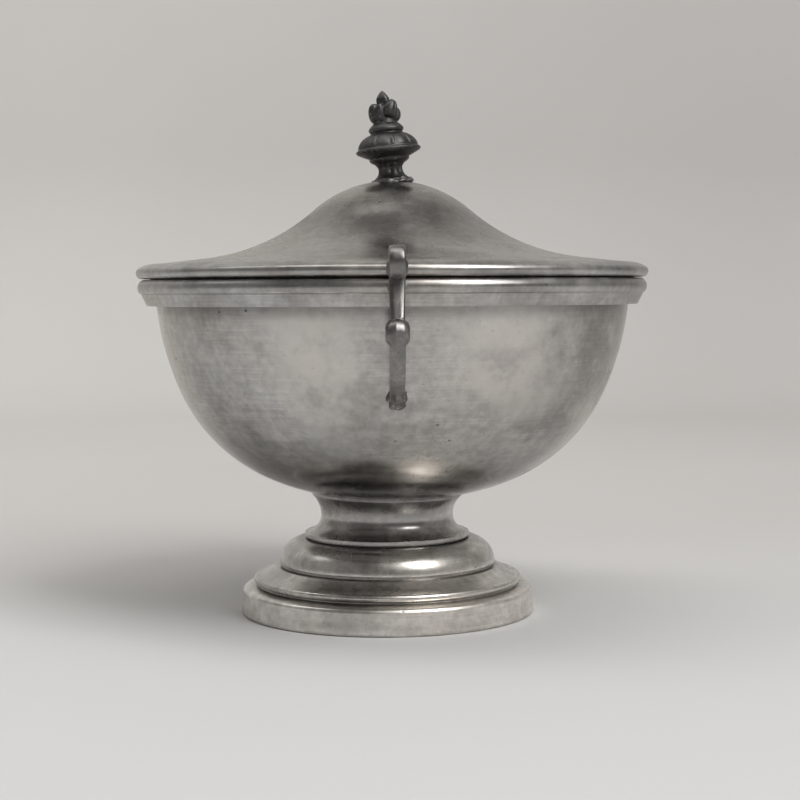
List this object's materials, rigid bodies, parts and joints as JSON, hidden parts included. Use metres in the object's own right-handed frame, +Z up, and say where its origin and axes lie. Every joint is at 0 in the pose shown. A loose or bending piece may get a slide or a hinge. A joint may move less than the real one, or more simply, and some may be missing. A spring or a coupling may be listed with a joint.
{
  "type": "covered sugar bowl",
  "caption": "Covered sugar bowl in satin grey pewter: a round bowl on a stepped pedestal foot, a lift-off domed lid with a cast finial, and two scroll handles.",
  "frame": {"origin": "where the bowl's axis meets the surface that the foot rests on", "axes": "+Z up along the bowl's axis; the two handles point along -Y (front) and +Y (back)"},
  "size_m": [0.1394, 0.1624, 0.1428],
  "materials": {
    "pewter": "spun and satin, with a dull grey patina",
    "cast_pewter": "cast, dark patina in the hollows",
    "solder": "rough soft solder",
    "steel": "plain"
  },
  "bodies": {
    "bowl": {"bowl_shell": "pewter", "rim_band": "pewter", "pedestal_neck": "pewter", "foot_dome": "pewter", "foot_step": "pewter", "foot_plinth": "pewter", "front_handle": "cast_pewter", "back_handle": "cast_pewter", "front_handle_solder": "solder", "back_handle_solder": "solder"},
    "lid": {"lid_shell": "pewter", "lid_edge_ring": "pewter", "lid_bezel": "pewter", "finial": "cast_pewter", "finial_solder": "solder", "finial_stud": "steel", "finial_washer": "steel", "finial_nut": "steel"}
  },
  "joints": [
    {"name": "lid_lift", "type": "slide", "parent": "bowl", "child": "lid", "axis": [0, 0, 1], "range_m": [0, 0.08]}
  ]
}
